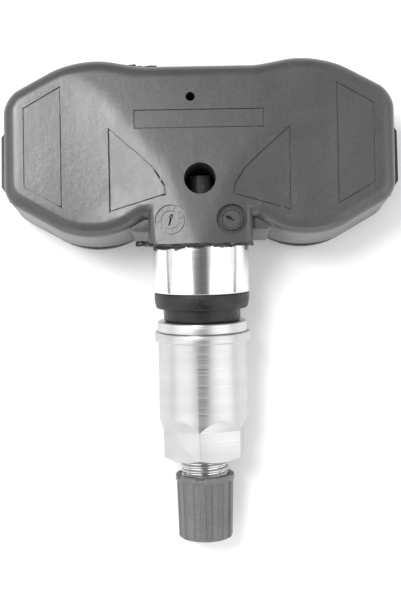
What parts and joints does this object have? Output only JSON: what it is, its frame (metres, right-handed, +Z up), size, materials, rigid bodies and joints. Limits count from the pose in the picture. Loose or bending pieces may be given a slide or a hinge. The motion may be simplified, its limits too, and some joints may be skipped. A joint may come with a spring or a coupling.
{
  "type": "tyre pressure sensor",
  "caption": "Clamp-in wheel sensor: two-lobed plastic housing on a metal valve stem with grommet, collar nut and ribbed cap; it reports a tyre's air pressure.",
  "frame": {"origin": "on the valve stem's axis, in the grommet's flat face that seats on the rim", "axes": "X to the right across the housing, Y towards the housing's far edge, Z up out of the front face; the part lies on its back, so the stem's axis points along -Y and dips a few degrees"},
  "size_m": [0.0624, 0.0751, 0.0187],
  "materials": {
    "housing_plastic": "grey moulded plastic, matte",
    "cover_plastic": "black moulded plastic, matte",
    "potting_resin": "black potting resin",
    "board_green": "green solder mask",
    "cell_steel": "nickel-plated steel",
    "tab_nickel": "nickel strip",
    "chip_black": "black moulded package",
    "seal_rubber": "black rubber",
    "capacitor_tan": "tan ceramic",
    "ferrite_grey": "dark grey ferrite",
    "coil_copper": "enamelled copper wire",
    "aerial_copper": "copper alloy strip",
    "stem_aluminium": "turned and polished aluminium",
    "grommet_rubber": "black rubber, faint sheen",
    "nut_aluminium": "satin aluminium",
    "cap_plastic": "grey moulded plastic, worn",
    "core_brass": "brass",
    "core_seal_red": "red sealing ring",
    "spring_steel": "spring steel"
  },
  "bodies": {
    "sensor": {"housing": "housing_plastic", "back_cover": "cover_plastic", "potting_layer": "potting_resin", "circuit_board": "board_green", "battery_cell": "cell_steel", "battery_tab_plus": "tab_nickel", "battery_tab_minus": "tab_nickel", "pressure_sensor_chip": "chip_black", "port_seal": "seal_rubber", "transmitter_chip": "chip_black", "motion_sensor_chip": "chip_black", "crystal_can": "tab_nickel", "board_capacitors": "capacitor_tan", "wake_coil_core": "ferrite_grey", "wake_coil_winding": "coil_copper", "antenna_loop": "aerial_copper", "valve_stem": "stem_aluminium", "rim_grommet": "grommet_rubber", "core_barrel": "core_brass", "core_barrel_seal": "core_seal_red", "core_spring": "spring_steel"},
    "washer": {"nut_washer": "nut_aluminium"},
    "nut": {"collar_nut": "nut_aluminium"},
    "cap_inner": {"cap_seal": "seal_rubber"},
    "cap": {"valve_cap": "cap_plastic"},
    "pin": {"core_pin": "core_brass", "core_cup": "core_brass", "core_cup_seal": "seal_rubber"}
  },
  "joints": [
    {"name": "washer_slide", "type": "slide", "parent": "sensor", "child": "washer", "axis": [0, -0.996, -0.0899], "range_m": [0, 0.00238]},
    {"name": "nut_turn", "type": "hinge", "parent": "washer", "child": "nut", "pos_m": [0, 0, 0], "axis": [0, -0.996, -0.0899], "range_deg": [0, 1080]},
    {"name": "cap_slide", "type": "slide", "parent": "sensor", "child": "cap_inner", "axis": [0, -0.996, -0.0899], "range_m": [0, 0.00715]},
    {"name": "cap_turn", "type": "hinge", "parent": "cap_inner", "child": "cap", "pos_m": [0, 0, 0], "axis": [0, -0.996, -0.0899], "range_deg": [0, 3240]},
    {"name": "pin_press", "type": "slide", "parent": "sensor", "child": "pin", "axis": [0, 0.996, 0.0899], "range_m": [0, 0.0012], "stiffness_N_per_m": 600, "springref_m": -0.001, "deforming": ["core_spring"]}
  ],
  "couplings": [
    {"joint": "nut_turn", "follows": "washer_slide", "rad_per_m": 7913.3},
    {"joint": "cap_turn", "follows": "cap_slide", "rad_per_m": 7913.3}
  ]
}
